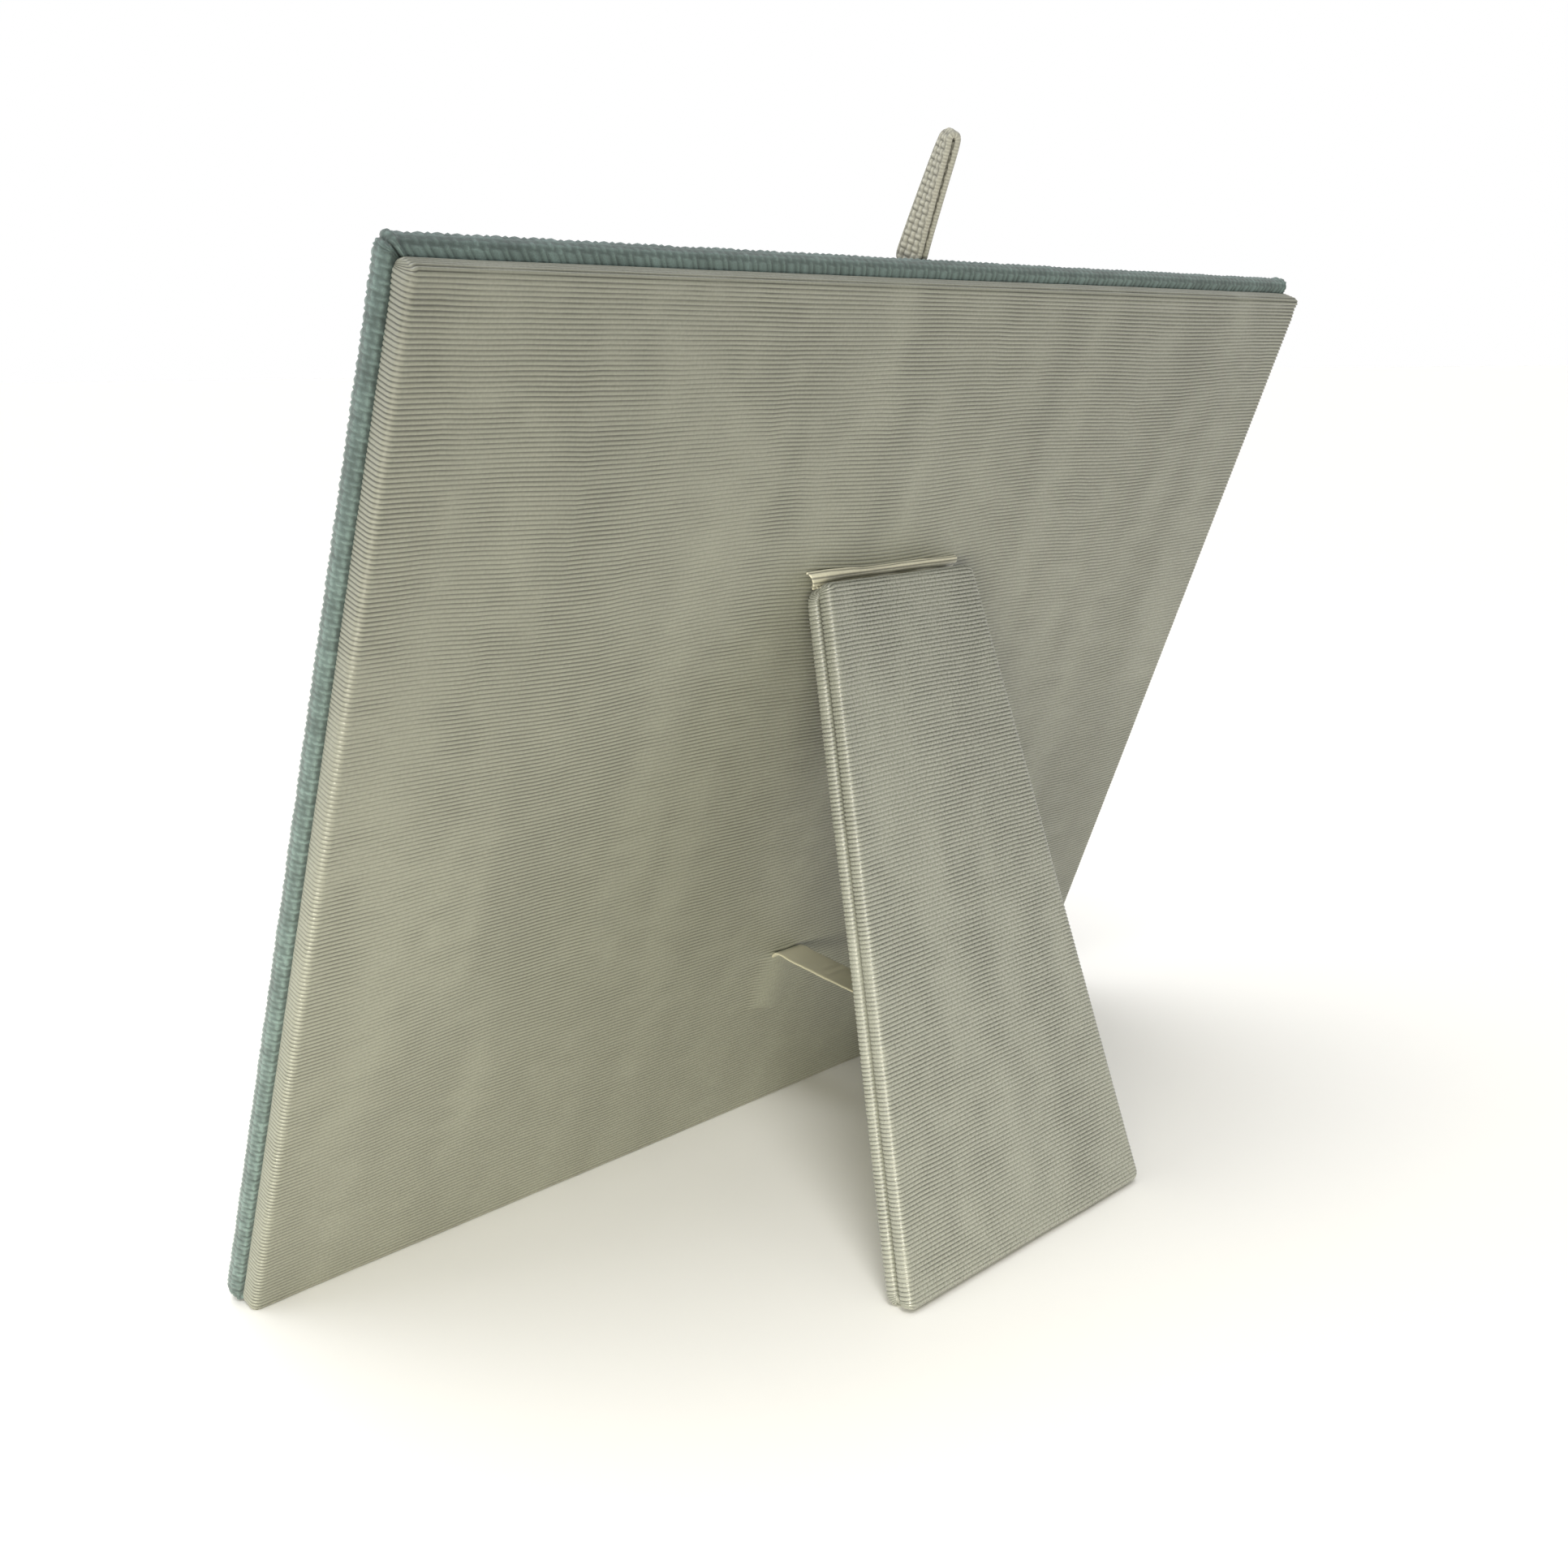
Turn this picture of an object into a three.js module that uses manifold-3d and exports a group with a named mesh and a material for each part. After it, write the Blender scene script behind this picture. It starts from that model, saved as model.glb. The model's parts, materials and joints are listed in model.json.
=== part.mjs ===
// A fabric-wrapped easel frame for one album print, standing on the lower back edge of its liner
// and on the foot of a folding leg. Millimetres, +Z up, the print faces -Y and the leg is at +Y.
// Every wrapped piece is a greyboard core in a cloth cover whose edges are turned in behind it.
import * as THREE from "three";
import { mergeVertices } from "three/addons/utils/BufferGeometryUtils.js";
import Module from "manifold-3d";

const wasm = await Module();
wasm.setup();

// Driving dimensions. Inside the frame, x runs across it, y out of its back and z up along it,
// from the liner's lower back edge. Of each wrapped board, skin is the cloth's thickness, edge and
// corner are the radii of its edges and corners, and turnIn is the cloth folded in behind it.
const LINER = { width: 217, height: 176, thick: 4.2, skin: 0.5, edge: 1.2, corner: 1.3, turnIn: 15 };
const BACKING = { width: 219, height: 179, thick: 3.5, skin: 0.6, edge: 1.4, corner: 2, turnIn: 15 };
const MAT = { width: 209, height: 169, thick: 3, skin: 0.4, edge: 1, corner: 1.4, turnIn: 6 };
const LEG = { top: 38.7, foot: 67.4, length: 119.6, skin: 0.4, edge: 1, turnIn: 12 };
const INNER = { ...LEG, thick: 2.4, corner: 2.6 };
const OUTER = { ...LEG, thick: 2.7, corner: 1.7 };
const backingDrop = 0.9; // how far the backing reaches below the liner
const legShift = 2; // the leg is glued this far from the frame's middle
const hingeHeight = 124; // up the liner's back
const openAngle = THREE.MathUtils.degToRad(36); // between the leg and the liner
const glue = 0.1; // glue line between two faces
const pressed = 0.2; // how far the cloth's round lower edges are pressed flat by the table

const printSize = { width: 178, height: 127, thick: 0.25 };
const windowLap = 4; // how far the mat covers each edge of the print
const paneThick = 0.8;
const insertThick = 1.6;
const play = 0.3; // free space round the sliding insert
const pocketInset = { side: 11, bottom: 8, top: 2 }; // from the mat's edges to the pane
const insertTopInset = 1; // from the mat's top edge to the insert's

const hingeCloth = { width: 38, leafWidth: 34, thick: 0.3, flange: 2.2, leaf: 22 };
const ribbon = { width: 7.4, thick: 0.4, shift: -3.2, panelHeight: 42.5, legAt: 85, tail: 15 };
const tape = { width: 5.4, thick: 1.1, shift: 4.6, rise: 20, tail: 15 };

// Corner radii of the plain cut pieces.
const cutCorner = { strip: 0.5, cloth: 0.6, pane: 1, insert: 2 };

const arcSteps = 3;
const edgeSteps = 3;
const past = 1; // how far a cutter or a joined piece runs past the face it meets

const COLOURS = {
  moire: 0xc9c6b2,
  linen: 0x7c9593,
  greyboard: 0x8d8a82,
  clear: 0xe8eef0,
  print: 0xd9d3c4,
  ribbon: 0xd8d4be,
  tape: 0xd2cfc0,
};

function material(name, roughness, options = {}) {
  return new THREE.MeshStandardMaterial({
    color: COLOURS[name],
    roughness,
    metalness: 0,
    ...options,
  });
}

function solidOf(geometry) {
  const bare = geometry.clone();
  bare.deleteAttribute("normal");
  bare.deleteAttribute("uv");
  const merged = mergeVertices(bare, 1e-4);
  return new wasm.Manifold(
    new wasm.Mesh({
      numProp: 3,
      vertProperties: merged.attributes.position.array,
      triVerts: new Uint32Array(merged.index.array),
    }),
  );
}

function geometryOf(solid) {
  const mesh = solid.getMesh();
  return new THREE.BufferGeometry()
    .setAttribute("position", new THREE.BufferAttribute(mesh.vertProperties, 3))
    .setIndex(new THREE.BufferAttribute(mesh.triVerts, 1));
}

function subtract(geometry, ...cutters) {
  return geometryOf(cutters.reduce((left, cut) => left.subtract(solidOf(cut)), solidOf(geometry)));
}

function join(first, ...others) {
  return geometryOf(others.reduce((sum, other) => sum.add(solidOf(other)), solidOf(first)));
}

function mesh(name, geometry, look) {
  const made = new THREE.Mesh(geometry, look);
  made.name = name;
  return made;
}

// A closed outline in the board's plane, anticlockwise, with every corner rounded by an arc.
function roundedOutline(corners, radius, Kind = THREE.Shape) {
  const outline = new Kind();
  const points = corners.map(([x, z]) => new THREE.Vector2(x, z));
  points.forEach((corner, i) => {
    const before = points[(i + points.length - 1) % points.length];
    const after = points[(i + 1) % points.length];
    const heading = corner.clone().sub(before).angle();
    const turn = after.clone().sub(corner).angle() - heading;
    const turned = THREE.MathUtils.euclideanModulo(turn, 2 * Math.PI);
    const along = new THREE.Vector2(Math.cos(heading), Math.sin(heading));
    const centre = corner.clone().addScaledVector(along, -radius * Math.tan(turned / 2));
    centre.add(new THREE.Vector2(-along.y, along.x).multiplyScalar(radius));
    const start = heading - Math.PI / 2;
    outline.absarc(centre.x, centre.y, radius, start, start + turned, false);
  });
  outline.closePath();
  return outline;
}

function rectangle(width, bottom, top) {
  const half = width / 2;
  return [
    [-half, bottom],
    [half, bottom],
    [half, top],
    [-half, top],
  ];
}

function trapezoid(widthTop, widthBottom, bottom, top) {
  return [
    [-widthBottom / 2, bottom],
    [widthBottom / 2, bottom],
    [widthTop / 2, top],
    [-widthTop / 2, top],
  ];
}

// A flat plate in the board's plane, from y = back to y = back - thick, with rounded edges if asked.
function plate(outline, back, thick, edge = 0) {
  const geometry = new THREE.ExtrudeGeometry(outline, {
    depth: thick - 2 * edge,
    curveSegments: arcSteps,
    bevelEnabled: edge > 0,
    bevelThickness: edge,
    bevelSize: edge,
    bevelOffset: -edge,
    bevelSegments: edgeSteps,
  });
  return geometry.rotateX(Math.PI / 2).translate(0, back - edge, 0);
}

function box(width, low, high) {
  const [y0, z0] = low;
  const [y1, z1] = high;
  return new THREE.BoxGeometry(width, y1 - y0, z1 - z0).translate(0, (y0 + y1) / 2, (z0 + z1) / 2);
}

// A board in its cloth. size gives the wrapped sizes, corners its outline, inset by a distance,
// and back the y of its back face. openBack tells on which face the turned-in edges end.
function wrappedBoard(names, size, corners, back, openBack, look, window = null) {
  const wall = size.skin + glue;
  const outer = roundedOutline(corners(0), size.corner);
  const hollow = roundedOutline(corners(size.skin), size.corner - size.skin);
  const core = roundedOutline(corners(wall), size.corner - wall);
  const opening = roundedOutline(corners(size.turnIn), size.corner);
  if (window) {
    outer.holes.push(roundedOutline(window(0), size.corner, THREE.Path));
    hollow.holes.push(roundedOutline(window(size.skin), size.corner, THREE.Path));
    core.holes.push(roundedOutline(window(wall), size.corner, THREE.Path));
    opening.holes.push(roundedOutline(window(size.turnIn), size.corner, THREE.Path));
  }
  const openFace = openBack ? back + past : back - size.thick + size.skin + glue;
  const cover = subtract(
    plate(outer, back, size.thick, size.edge),
    plate(hollow, back - size.skin, size.thick - 2 * size.skin),
    plate(opening, openFace, size.skin + glue + past),
  );
  const board = plate(core, back - wall, size.thick - 2 * wall);
  return [
    mesh(names.board, board, material("greyboard", 0.95)),
    mesh(names.cover, cover, look),
  ];
}

const frameCorners = (size, bottom) => (inset) =>
  rectangle(size.width - 2 * inset, bottom + inset, bottom + size.height - inset);

// Depths in the frame, from the liner's back at y = 0 towards the print.
const linerFront = -LINER.thick;
const backingBack = linerFront - glue;
const backingFront = backingBack - BACKING.thick;
const insertBack = backingFront - play;
const printBack = insertBack - insertThick - glue;
const paneBack = printBack - printSize.thick - play;
const matBack = paneBack - paneThick - glue;

const backingTop = BACKING.height - backingDrop;
const matBottom = (BACKING.height - MAT.height) / 2 - backingDrop;
const matTop = matBottom + MAT.height;
const middle = (matBottom + matTop) / 2;
const pocketWidth = MAT.width - 2 * pocketInset.side;
const pocketBottom = matBottom + pocketInset.bottom;

// The frame leans back until the liner's and the foot's round lower edges both meet the table.
const footY = play + LEG.length * Math.sin(openAngle);
const footZ = hingeHeight - LEG.length * Math.cos(openAngle);
const squareLean = Math.atan2(footZ, footY);
const edgeRise = (radius, tilt) => radius * (Math.cos(tilt) + Math.sin(tilt) - 1);
const linerRise = edgeRise(LINER.edge, squareLean);
const footRise = edgeRise(LEG.edge, openAngle - squareLean);
const lean = squareLean - (linerRise - footRise) / Math.hypot(footY, footZ);

// One end of the ribbon stay: it goes through a slit in a cloth cover and down between the cloth
// and the board. outward is +1 where the cloth faces +y, and -1 where it faces -y.
function stayEnd(name, surface, size, height, outward, shift) {
  const slab = (from, to, low, high, width) => {
    const a = surface - outward * from;
    const b = surface - outward * to;
    return box(width, [Math.min(a, b), low], [Math.max(a, b), high]).translate(shift, 0, 0);
  };
  const wide = ribbon.width + 2 * play;
  const slit = slab(-past, size.skin + glue, height - ribbon.thick - play, height + play, wide);
  const bed = size.skin + 2 * glue;
  const recess = slab(0, bed + ribbon.thick + glue, height - ribbon.tail - play, height + play, wide);
  const tail = slab(bed, bed + ribbon.thick, height - ribbon.tail, height, ribbon.width);
  const stub = slab(glue, bed + ribbon.thick, height - ribbon.thick, height, ribbon.width);
  return { slit, recess, tail: mesh(name, join(tail, stub), material("ribbon", 0.35)) };
}

function cutFor(end, [board, cover]) {
  board.geometry = subtract(board.geometry, end.recess);
  cover.geometry = subtract(cover.geometry, end.slit);
  return [board, cover, end.tail];
}

function linerPieces() {
  const wrapped = wrappedBoard(
    { board: "liner_board", cover: "liner_cover" },
    LINER,
    frameCorners(LINER, 0),
    0,
    false,
    material("moire", 0.55),
  );
  return cutFor(stayEnd("stay_liner_end", 0, LINER, ribbon.panelHeight, 1, ribbon.shift), wrapped);
}

function backingPieces() {
  return wrappedBoard(
    { board: "backing_board", cover: "backing_cover" },
    BACKING,
    frameCorners(BACKING, -backingDrop),
    backingBack,
    true,
    material("linen", 0.85),
  );
}

function matPieces() {
  const openWidth = printSize.width - 2 * windowLap;
  const openHeight = printSize.height - 2 * windowLap;
  const windowCorners = (grow) =>
    rectangle(openWidth + 2 * grow, middle - openHeight / 2 - grow, middle + openHeight / 2 + grow);
  const corners = (inset) => rectangle(MAT.width - 2 * inset, matBottom + inset, matTop - inset);
  return wrappedBoard(
    { board: "mat_board", cover: "mat_cover" },
    MAT,
    corners,
    matBack,
    true,
    material("moire", 0.55),
    windowCorners,
  );
}

// Three strips of board hold the mat off the backing and leave a pocket that is open at the top.
function pocketPieces() {
  const look = () => material("greyboard", 0.95);
  const back = backingFront - glue;
  const thick = back - matBack - glue;
  const sideWidth = pocketInset.side - play - MAT.edge;
  const sideX = (pocketWidth + sideWidth) / 2 + play;
  const low = matBottom + MAT.edge;
  const strip = (width, top) =>
    plate(roundedOutline(rectangle(width, low, top), cutCorner.strip), back, thick);
  const side = () => strip(sideWidth, matTop - MAT.edge);
  const bottom = strip(pocketWidth, pocketBottom - play);
  const clear = rectangle(pocketWidth, pocketBottom, matTop - pocketInset.top);
  const pane = plate(roundedOutline(clear, cutCorner.pane), paneBack, paneThick);
  return [
    mesh("pocket_spacer_left", side().translate(-sideX, 0, 0), look()),
    mesh("pocket_spacer_right", side().translate(sideX, 0, 0), look()),
    mesh("pocket_spacer_bottom", bottom, look()),
    mesh("window_pane", pane, material("clear", 0.1, { transparent: true, opacity: 0.3 })),
  ];
}

// The insert carries the print. A loop of woven tape in a notch at its top pulls it out.
function insertPieces() {
  const width = pocketWidth - 2 * play;
  const top = matTop - insertTopInset;
  const notchBottom = top - tape.tail - play;
  const notchFront = printBack - past;
  const notch = box(tape.width + 2 * play, [notchFront, notchBottom], [insertBack + past, top + past]);
  const sheet = roundedOutline(rectangle(width, pocketBottom + play, top), cutCorner.insert);
  const board = subtract(plate(sheet, insertBack, insertThick), notch.translate(tape.shift, 0, 0));
  const print = roundedOutline(
    rectangle(printSize.width, middle - printSize.height / 2, middle + printSize.height / 2),
    cutCorner.strip,
  );
  return [
    mesh("insert_board", board, material("greyboard", 0.95)),
    mesh("photo_print", plate(print, printBack, printSize.thick), material("print", 0.35)),
    mesh("pull_tab", tabGeometry(notchBottom + play, top).translate(tape.shift, 0, 0), material("tape", 0.9)),
  ];
}

// The tape lies flat in its notch, then stands edge-on above the backing as a closed loop.
function tabGeometry(tailBottom, insertTop) {
  const doubled = 2 * tape.thick;
  const flat = insertThick - glue;
  const tailBack = insertBack - glue / 2;
  const loopBottom = backingTop + play;
  const loopTop = backingTop + tape.rise;
  const loopFront = tailBack - (flat + tape.width) / 2;
  const tail = box(tape.width, [tailBack - flat, tailBottom], [tailBack, insertTop]);
  const neck = box(doubled, [tailBack - flat, insertTop - past], [tailBack, loopBottom + past]);
  const loop = new THREE.Shape();
  loop.moveTo(-doubled / 2, loopBottom);
  loop.lineTo(doubled / 2, loopBottom);
  loop.lineTo(doubled / 2, loopTop - doubled / 2);
  loop.absarc(0, loopTop - doubled / 2, doubled / 2, 0, Math.PI, false);
  loop.closePath();
  return join(tail, neck, plate(loop, loopFront + tape.width, tape.width));
}

// The panel side of the hinge cloth, glued to the liner just above the leg.
function hingeFlange() {
  const bottom = hingeHeight + 2 * play;
  const corners = rectangle(hingeCloth.width, bottom, bottom + hingeCloth.flange);
  const outline = roundedOutline(corners, cutCorner.cloth);
  const flange = plate(outline, glue + hingeCloth.thick, hingeCloth.thick).translate(legShift, 0, 0);
  return mesh("hinge_cloth_flange", flange, material("moire", 0.6));
}

// The leg, in its own axes: y away from the frame and z up along the leg, from the hinge line.
function legPieces() {
  const corners = (length) => (inset) => {
    const slope = (LEG.foot - LEG.top) / 2 / LEG.length;
    const widthAt = (down) => LEG.top + 2 * slope * down;
    return trapezoid(
      widthAt(LEG.length - length + inset) - 2 * inset,
      widthAt(LEG.length - inset) - 2 * inset,
      inset - LEG.length,
      length - LEG.length - inset,
    );
  };
  const innerBack = INNER.thick;
  const leafBack = innerBack + glue + hingeCloth.thick;
  const outerBack = leafBack + glue + OUTER.thick;
  const inner = wrappedBoard(
    { board: "leg_inner_board", cover: "leg_inner_cover" },
    INNER,
    corners(LEG.length - hingeCloth.thick - glue),
    innerBack,
    true,
    material("moire", 0.5),
  );
  const outer = wrappedBoard(
    { board: "leg_outer_board", cover: "leg_outer_cover" },
    OUTER,
    corners(LEG.length),
    outerBack,
    false,
    material("moire", 0.5),
  );
  const wide = hingeCloth.leafWidth;
  const leaf = box(wide, [leafBack - hingeCloth.thick, -hingeCloth.leaf], [leafBack, 0]);
  const lap = box(wide, [LEG.edge / 2, -hingeCloth.thick], [leafBack, 0]);
  const end = stayEnd("stay_leg_end", 0, INNER, -ribbon.legAt, -1, ribbon.shift - legShift);
  return [...cutFor(end, inner), ...outer, mesh("hinge_cloth_leaf", join(leaf, lap), material("moire", 0.6))];
}

// The free span of the ribbon stay, taut from the liner to the leg's inner face.
function staySpan() {
  const hinge = new THREE.Vector2(play, hingeHeight);
  const down = new THREE.Vector2(Math.sin(openAngle), -Math.cos(openAngle));
  const start = new THREE.Vector2(2 * play, ribbon.panelHeight);
  const reach = down.clone().multiplyScalar(ribbon.legAt).add(hinge);
  const run = reach.clone().sub(start);
  const length = run.length() - 2 * play;
  const span = box(ribbon.width, [0, -ribbon.thick / 2], [length, ribbon.thick / 2]);
  span.rotateX(Math.atan2(run.y, run.x)).translate(ribbon.shift, start.x, start.y);
  return mesh("stay_ribbon", span, material("ribbon", 0.35));
}

// The table presses the round lower edge of a cloth cover flat.
function pressFlat(cover) {
  const side = 3 * LINER.width;
  const table = new THREE.BoxGeometry(side, side, LINER.thick).translate(0, 0, -LINER.thick / 2);
  table.applyMatrix4(cover.matrixWorld.clone().invert());
  cover.geometry = subtract(cover.geometry, table);
}

const legGroup = new THREE.Group();
legGroup.add(...legPieces());
legGroup.position.set(legShift, play, hingeHeight);
legGroup.rotation.x = openAngle;

const frameGroup = new THREE.Group();
frameGroup.add(...linerPieces(), ...backingPieces(), ...matPieces(), ...pocketPieces());
frameGroup.add(...insertPieces(), hingeFlange(), staySpan(), legGroup);
frameGroup.rotation.x = -lean;
frameGroup.position.z = -linerRise - pressed;

const root = new THREE.Group();
root.add(frameGroup);
root.updateMatrixWorld(true);
["liner_cover", "leg_inner_cover"].forEach((name) => pressFlat(root.getObjectByName(name)));
frameGroup.position.y = -new THREE.Box3().setFromObject(frameGroup, true).getCenter(new THREE.Vector3()).y;

export default root;
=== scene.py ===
# The looks of the fabric-wrapped photo stand: cloth with its ribs, threads and folds, ribbon, tape,
# board and print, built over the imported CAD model. Metres, in the row frame.
import json
import math

import bmesh
import bpy
import numpy as np
from mathutils import Matrix, Vector


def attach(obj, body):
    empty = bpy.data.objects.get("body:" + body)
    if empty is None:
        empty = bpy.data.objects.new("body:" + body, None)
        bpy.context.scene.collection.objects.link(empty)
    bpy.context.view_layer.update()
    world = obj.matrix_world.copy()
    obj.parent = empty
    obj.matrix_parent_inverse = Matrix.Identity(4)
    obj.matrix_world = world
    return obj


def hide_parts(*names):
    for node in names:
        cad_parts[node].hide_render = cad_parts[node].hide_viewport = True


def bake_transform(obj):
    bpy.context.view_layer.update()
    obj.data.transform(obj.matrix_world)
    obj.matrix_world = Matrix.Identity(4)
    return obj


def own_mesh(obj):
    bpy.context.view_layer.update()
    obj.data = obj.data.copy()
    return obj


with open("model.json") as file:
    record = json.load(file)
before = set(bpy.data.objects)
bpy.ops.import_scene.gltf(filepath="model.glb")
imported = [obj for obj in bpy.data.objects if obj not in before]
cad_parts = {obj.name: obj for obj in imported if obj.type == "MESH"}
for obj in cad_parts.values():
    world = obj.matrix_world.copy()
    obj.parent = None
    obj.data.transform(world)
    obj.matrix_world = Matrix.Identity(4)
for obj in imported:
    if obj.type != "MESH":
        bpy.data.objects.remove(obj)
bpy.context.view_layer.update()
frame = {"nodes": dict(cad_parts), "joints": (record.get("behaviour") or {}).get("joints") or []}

MM = 0.001
ACROSS = np.array([1.0, 0.0, 0.0])


# ---------------------------------------------------------------- axes of the frame and the leg

class Board:
    """A board's own axes: x across, y out of its back and z up along it."""

    def __init__(self, out, origin=(0, 0, 0)):
        self.axes = np.array([ACROSS, out, np.cross(ACROSS, out)])
        self.origin = np.array(origin, float)

    def world(self, points):
        return np.asarray(points, float) @ self.axes + self.origin

    def local(self, points):
        return (np.asarray(points, float) - self.origin) @ self.axes.T

    def points(self, node):
        return self.local([v.co for v in frame["nodes"][node].data.vertices])

    def box(self, node):
        points = self.points(node)
        return points.min(0), points.max(0)


def joint(name):
    return next(j for j in frame["joints"] if j["name"] == name)


def facing(node):
    """The direction that a node's largest face looks in, taken towards +Y."""
    face = max(frame["nodes"][node].data.polygons, key=lambda p: p.area)
    normal = np.array(face.normal)
    return normal * np.sign(normal[1])


def frame_board():
    """The frame's axes, from the middle of the liner's lower back edge."""
    back = np.cross(np.array(joint("insert_slide")["axis"]), ACROSS)
    board = Board(back / np.linalg.norm(back))
    low, high = board.box("liner_cover")
    board.origin = board.world(((low[0] + high[0]) / 2, high[1], low[2]))
    return board


FRAME = frame_board()
LEG = Board(facing("leg_outer_board"), joint("leg_fold")["pos_m"])


# ---------------------------------------------------------------- sizes of the cloths

RIB = {"pitch": 0.72 * MM, "height": 0.27 * MM}
RIB_SHAPE = np.array([1.0, 0.8, 0.0, 0.8])  # heights at four rows in each rib
THREAD = {"across": 1.5 * MM, "along": 1.02 * MM, "height": 0.46 * MM}
LINER = {"edge": 1.2 * MM, "corner": 1.3 * MM, "turn_in": 15 * MM}
BACKING = {"edge": 1.4 * MM, "corner": 2.0 * MM, "turn_in": 15 * MM}
MAT = {"edge": 1.0 * MM, "corner": 1.4 * MM, "turn_in": 6 * MM}
INNER_LEG = {"edge": 1.0 * MM, "corner": 2.6 * MM, "turn_in": 12 * MM}
OUTER_LEG = {"edge": 1.0 * MM, "corner": 1.7 * MM, "turn_in": 12 * MM}
WINDOW_LAP = 4 * MM  # how far the mat covers each edge of the print
TAPE = {"width": 5.2 * MM, "thick": 1.15 * MM, "gap": 0.3 * MM, "height": 0.4 * MM}
TAPE_THREAD = {"across": 1.3 * MM, "along": 1.04 * MM}
EDGE_STEPS = 4  # steps round each bend of a cloth that isn't given a spacing
LATTICE = 64  # the noise repeats after this many cells


def smooth(t):
    """From 0 to 1 as t goes from 0 to 1, level at both ends."""
    t = np.clip(t, 0, 1)
    return t * t * (3 - 2 * t)


def noise(x, z, cell_x, cell_z, seed):
    """Smooth noise from -1 to 1 over a plane."""
    lattice = np.random.default_rng(seed).uniform(-1, 1, (LATTICE, LATTICE))
    across = x / cell_x + LATTICE / 2
    along = z / cell_z + LATTICE / 2
    i = np.floor(across).astype(int)
    j = np.floor(along).astype(int)
    u = smooth(across - i)
    v = smooth(along - j)

    def at(di, dj):
        return lattice[(i + di) % LATTICE, (j + dj) % LATTICE]

    low = at(0, 0) * (1 - u) + at(1, 0) * u
    high = at(0, 1) * (1 - u) + at(1, 1) * u
    return low * (1 - v) + high * v


# ---------------------------------------------------------------- mesh making

def make_mesh(name, points, faces, cloth, hollow, material):
    """A smooth mesh from numpy points and faces. cloth is each point's place on the flat cloth,
    and hollow is 0 on top of a thread or rib and 1 between two."""
    rounded, first, welded = np.unique(
        np.round(points, 8), axis=0, return_index=True, return_inverse=True
    )
    welded = welded.reshape(-1)
    polygons = []
    corners = []
    for face in faces:
        ring = []
        kept = []
        for index in face:
            if not ring or welded[index] != ring[-1]:
                ring.append(welded[index])
                kept.append(index)
        if len(ring) > 1 and ring[0] == ring[-1]:
            ring.pop()
            kept.pop()
        if len(set(ring)) > 2 and len(set(ring)) == len(ring):
            polygons.append([int(r) for r in ring])
            corners.extend(kept)
    mesh = bpy.data.meshes.new(name)
    mesh.from_pydata([tuple(p) for p in rounded], [], polygons)
    layer = mesh.uv_layers.new(name="cloth")
    layer.data.foreach_set("uv", (np.asarray(cloth)[corners] / MM).astype(np.float32).ravel())
    shade = mesh.attributes.new("hollow", "FLOAT", "POINT")
    shade.data.foreach_set("value", np.asarray(hollow, np.float32).ravel()[first])
    mesh.polygons.foreach_set("use_smooth", [True] * len(mesh.polygons))
    mesh.materials.append(material)
    made = bpy.data.objects.new(name, mesh)
    bpy.context.scene.collection.objects.link(made)
    return made


def grid_faces(rows, columns):
    """The quads of a grid of rows by columns points."""
    index = np.arange(rows * columns).reshape(rows, columns)
    low_left = index[:-1, :-1].ravel()
    low_right = index[:-1, 1:].ravel()
    high_right = index[1:, 1:].ravel()
    high_left = index[1:, :-1].ravel()
    return np.stack([low_left, high_left, high_right, low_right], axis=1)


def patch(points, normals, cloth, hollow, keep=None):
    """A grid's points, faces that look the way the normals do, places on the cloth and hollows."""
    rows, columns = points.shape[:2]
    points = points.reshape(-1, 3)
    normals = normals.reshape(-1, 3)
    faces = grid_faces(rows, columns)
    one, two, three = (points[faces[:, k]] for k in range(3))
    looks = np.cross(two - one, three - one)
    if keep is not None:
        faces = faces[keep.ravel()[faces].all(axis=1)]
    if (looks * normals[grid_faces(rows, columns)[:, 0]]).sum() < 0:
        faces = faces[:, ::-1]
    return points, faces, cloth.reshape(-1, 2), hollow.ravel()


def plain_middle(keep):
    """The ring of points round the plain middle that isn't kept, as one flat face."""
    rows = np.flatnonzero((~keep).any(axis=1))
    columns = np.flatnonzero((~keep).any(axis=0))
    index = np.arange(keep.size).reshape(keep.shape)
    index = index[rows[0] - 1 : rows[-1] + 2, columns[0] - 1 : columns[-1] + 2]
    left = index[:, 0]
    top = index[-1, 1:]
    right = index[-2::-1, -1]
    bottom = index[0, -2:0:-1]
    return np.concatenate([left, top, right, bottom])


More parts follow.
